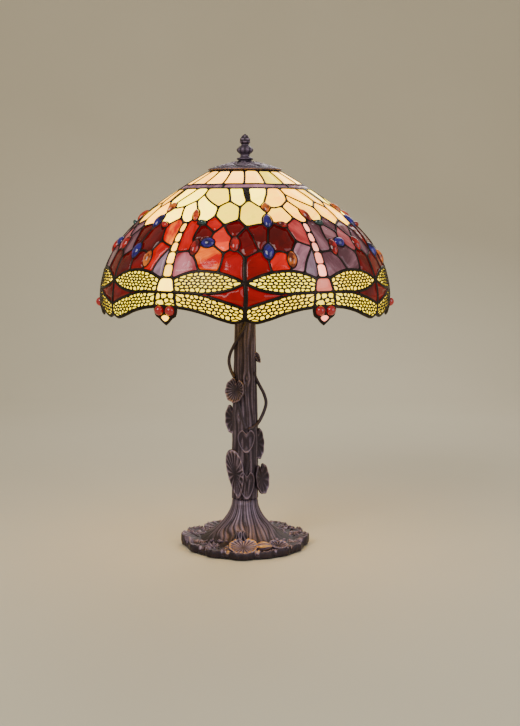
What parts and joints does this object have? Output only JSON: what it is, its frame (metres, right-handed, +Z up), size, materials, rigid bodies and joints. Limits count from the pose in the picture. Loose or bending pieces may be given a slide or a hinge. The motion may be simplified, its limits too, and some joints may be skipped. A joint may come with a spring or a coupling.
{
  "type": "stained glass table lamp",
  "caption": "Table lamp with a leaded art-glass dome shade in a dragonfly pattern on a cast tree-trunk column with a lily-pad foot.",
  "frame": {"origin": "on the table surface under the lamp's vertical axis, the centre of the flat felt face it stands on", "axes": "+Z up along the column and out through the finial, -Y towards the front, where a lead seam between two dragonflies faces, +X to the right seen from the front"},
  "size_m": [0.3948, 0.3956, 0.5665],
  "materials": {
    "bronze": "dark antique bronze patina, worn golden on the high spots",
    "felt": "black felt",
    "bushing": "moulded black",
    "plated_steel": "zinc plated thread",
    "brass": "dull brass",
    "porcelain": "glazed porcelain",
    "bulb_cap": "rolled thread",
    "bulb_glass": "pearl",
    "lead": "dark patina on solder",
    "crown_glass": "cream and peach opalescent",
    "border_glass": "streaky lilac",
    "upper_glass": "cream, yellow and peach opalescent",
    "field_glass": "streaky red and mauve, with glass cabochons",
    "dragonfly_glass": "pale yellow under dark pierced metal"
  },
  "bodies": {
    "root": {"base_felt": "felt", "root_base": "bronze", "cord_bushing": "bushing", "base_washer": "plated_steel", "base_nut": "brass", "lamp_pipe": "plated_steel", "trunk": "bronze", "column_collar": "bronze", "column_nut": "brass", "cluster_body": "bronze", "cluster_cap": "bronze", "lampholder_shell_1": "brass", "lampholder_insert_1": "porcelain", "lampholder_shell_2": "brass", "lampholder_insert_2": "porcelain", "riser_rod": "plated_steel", "spider_seat_nut": "brass", "shade_spider": "brass", "spider_lock_nut": "brass"},
    "shade": {"crown_ring": "brass", "crown_glass": "crown_glass", "border_glass": "border_glass", "upper_glass_1": "upper_glass", "upper_glass_2": "upper_glass", "upper_glass_3": "upper_glass", "upper_glass_4": "upper_glass", "upper_glass_5": "upper_glass", "upper_glass_6": "upper_glass", "field_glass_1": "field_glass", "field_glass_2": "field_glass", "field_glass_3": "field_glass", "field_glass_4": "field_glass", "field_glass_5": "field_glass", "field_glass_6": "field_glass", "dragonfly_glass_1": "dragonfly_glass", "dragonfly_glass_2": "dragonfly_glass", "dragonfly_glass_3": "dragonfly_glass", "dragonfly_glass_4": "dragonfly_glass", "dragonfly_glass_5": "dragonfly_glass", "dragonfly_glass_6": "dragonfly_glass", "seam_lead_1": "lead", "seam_lead_2": "lead", "seam_lead_3": "lead", "seam_lead_4": "lead", "seam_lead_5": "lead", "seam_lead_6": "lead", "rim_wire": "lead", "shade_cap": "bronze"},
    "finial": {"finial": "bronze"},
    "bulb_1": {"bulb_cap_1": "bulb_cap", "bulb_glass_1": "bulb_glass"},
    "bulb_2": {"bulb_cap_2": "bulb_cap", "bulb_glass_2": "bulb_glass"}
  },
  "joints": [
    {"name": "shade_turn", "type": "hinge", "parent": "root", "child": "shade", "pos_m": [0, 0, 0.5], "axis": [0, 0, 1], "continuous": true},
    {"name": "finial_turn", "type": "hinge", "parent": "root", "child": "finial", "pos_m": [0, 0, 0.54], "axis": [0, 0, 1], "continuous": true},
    {"name": "bulb_1_turn", "type": "hinge", "parent": "root", "child": "bulb_1", "pos_m": [0, 0, 0.3677], "axis": [-0.866, 0, 0.5], "continuous": true},
    {"name": "bulb_2_turn", "type": "hinge", "parent": "root", "child": "bulb_2", "pos_m": [0, 0, 0.3677], "axis": [0.866, 0, 0.5], "continuous": true}
  ]
}
